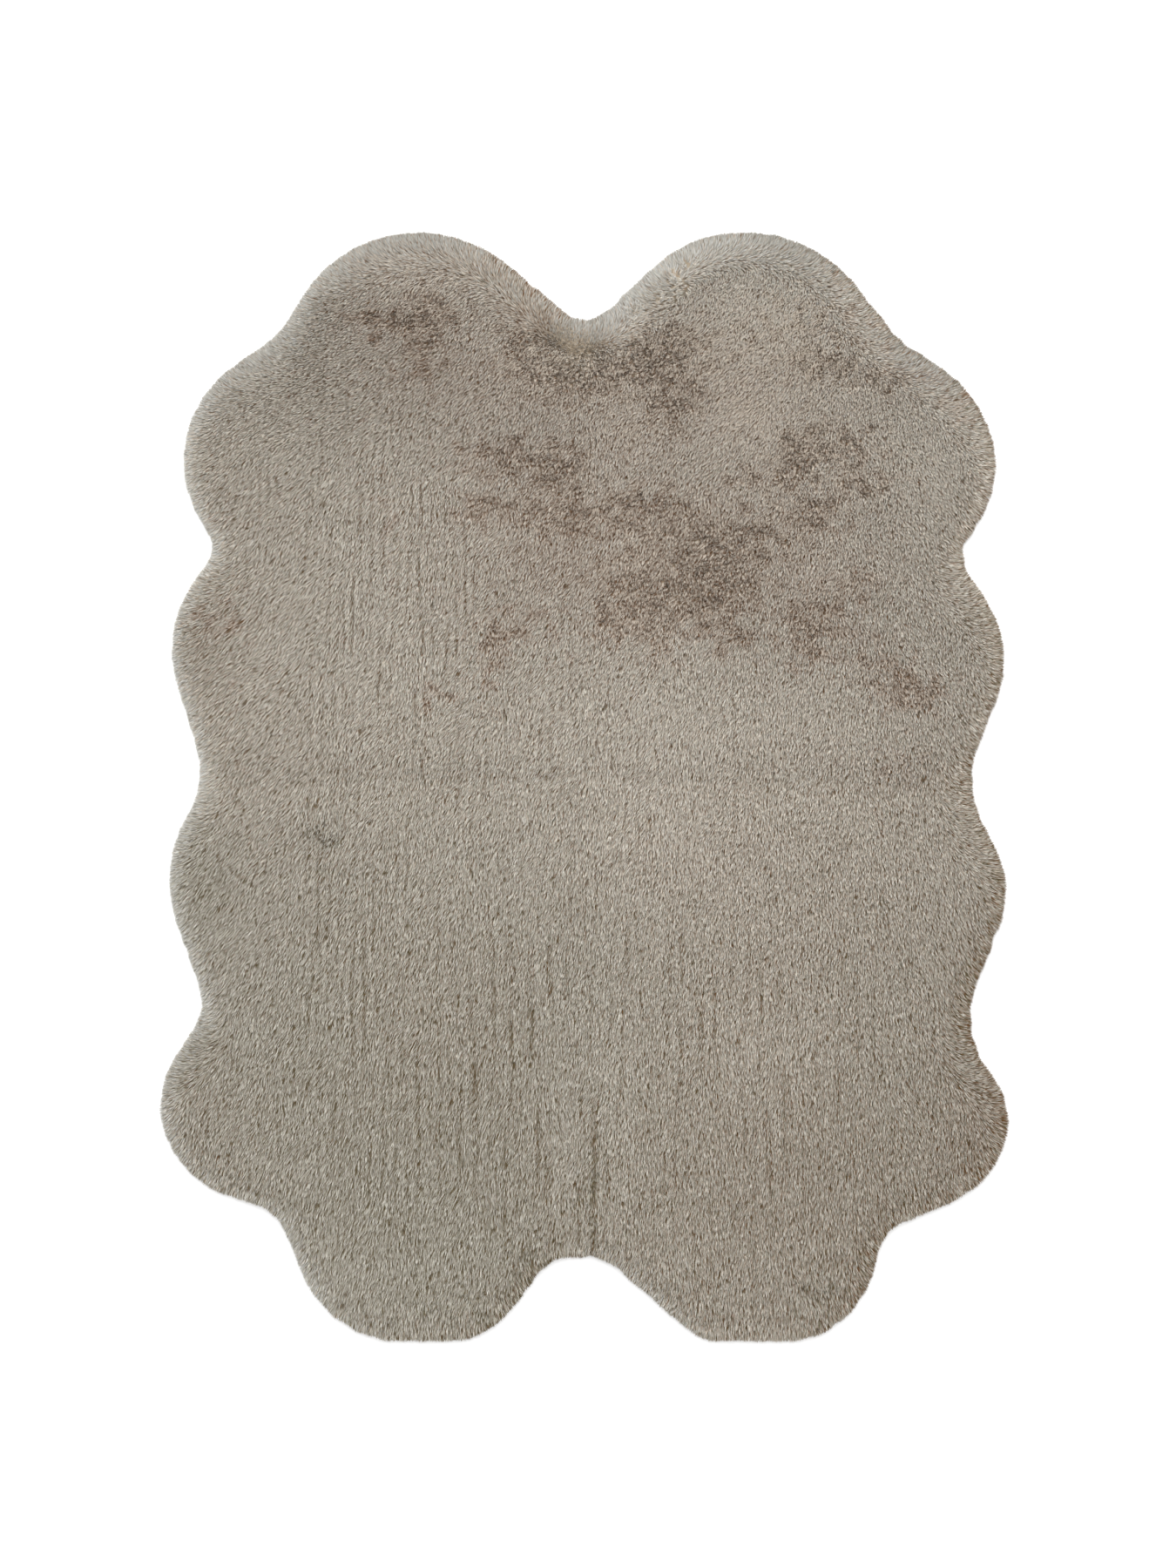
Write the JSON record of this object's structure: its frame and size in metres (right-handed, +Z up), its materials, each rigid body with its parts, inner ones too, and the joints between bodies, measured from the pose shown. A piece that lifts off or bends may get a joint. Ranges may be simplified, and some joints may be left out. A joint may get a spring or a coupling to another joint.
{
  "type": "faux fur rug",
  "caption": "Flat floor rug of faux fur, cut to a scalloped hide outline with a notch at head and foot, pile up, in taupe.",
  "frame": {"origin": "middle of the underside's bounding rectangle, on the floor", "axes": "+Y along the rug towards its head end, +X across it, +Z up through the pile"},
  "size_m": [1.2, 1.6, 0.0309],
  "materials": {
    "fur": "dense brushed pile, matt with a faint sheen"
  },
  "bodies": {
    "root": {"fur_rug": "fur"}
  },
  "joints": []
}
